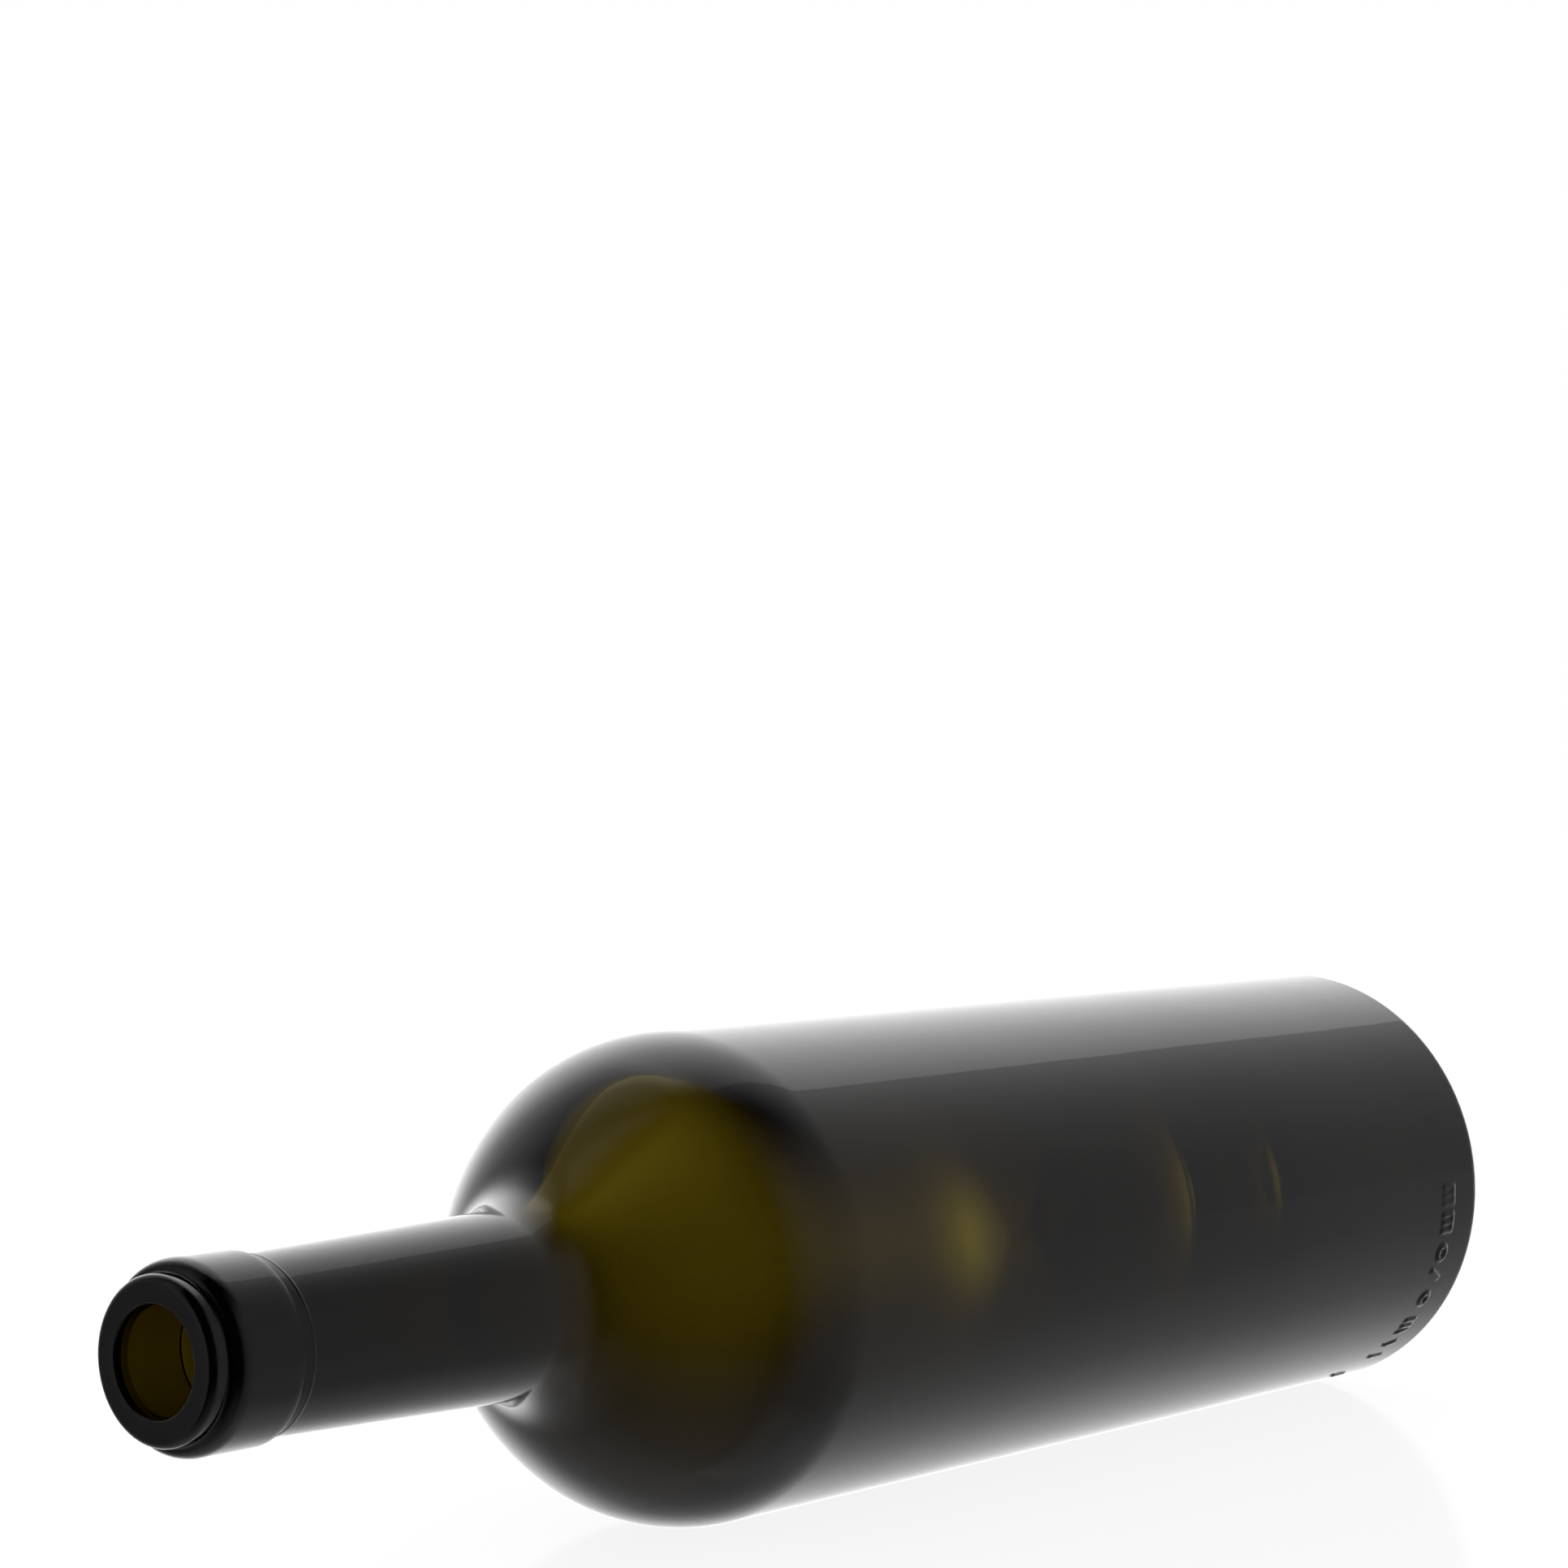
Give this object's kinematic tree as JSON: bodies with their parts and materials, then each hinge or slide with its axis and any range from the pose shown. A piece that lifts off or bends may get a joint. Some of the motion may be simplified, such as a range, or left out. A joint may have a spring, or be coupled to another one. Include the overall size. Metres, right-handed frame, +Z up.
{
  "type": "wine bottle",
  "caption": "Empty open Bordeaux-shape wine bottle in dark green glass, lying on its side: lipped cork finish, round shoulder, straight body and pushed-up base.",
  "frame": {"origin": "centre of the bottle's footprint on the surface it lies on, halfway along its length", "axes": "+X along the bottle's axis from mouth to base, +Z up, +Y across the body"},
  "size_m": [0.29, 0.0764, 0.0763],
  "materials": {
    "green_glass": "gloss"
  },
  "bodies": {
    "root": {"bottle": "green_glass"}
  },
  "joints": []
}
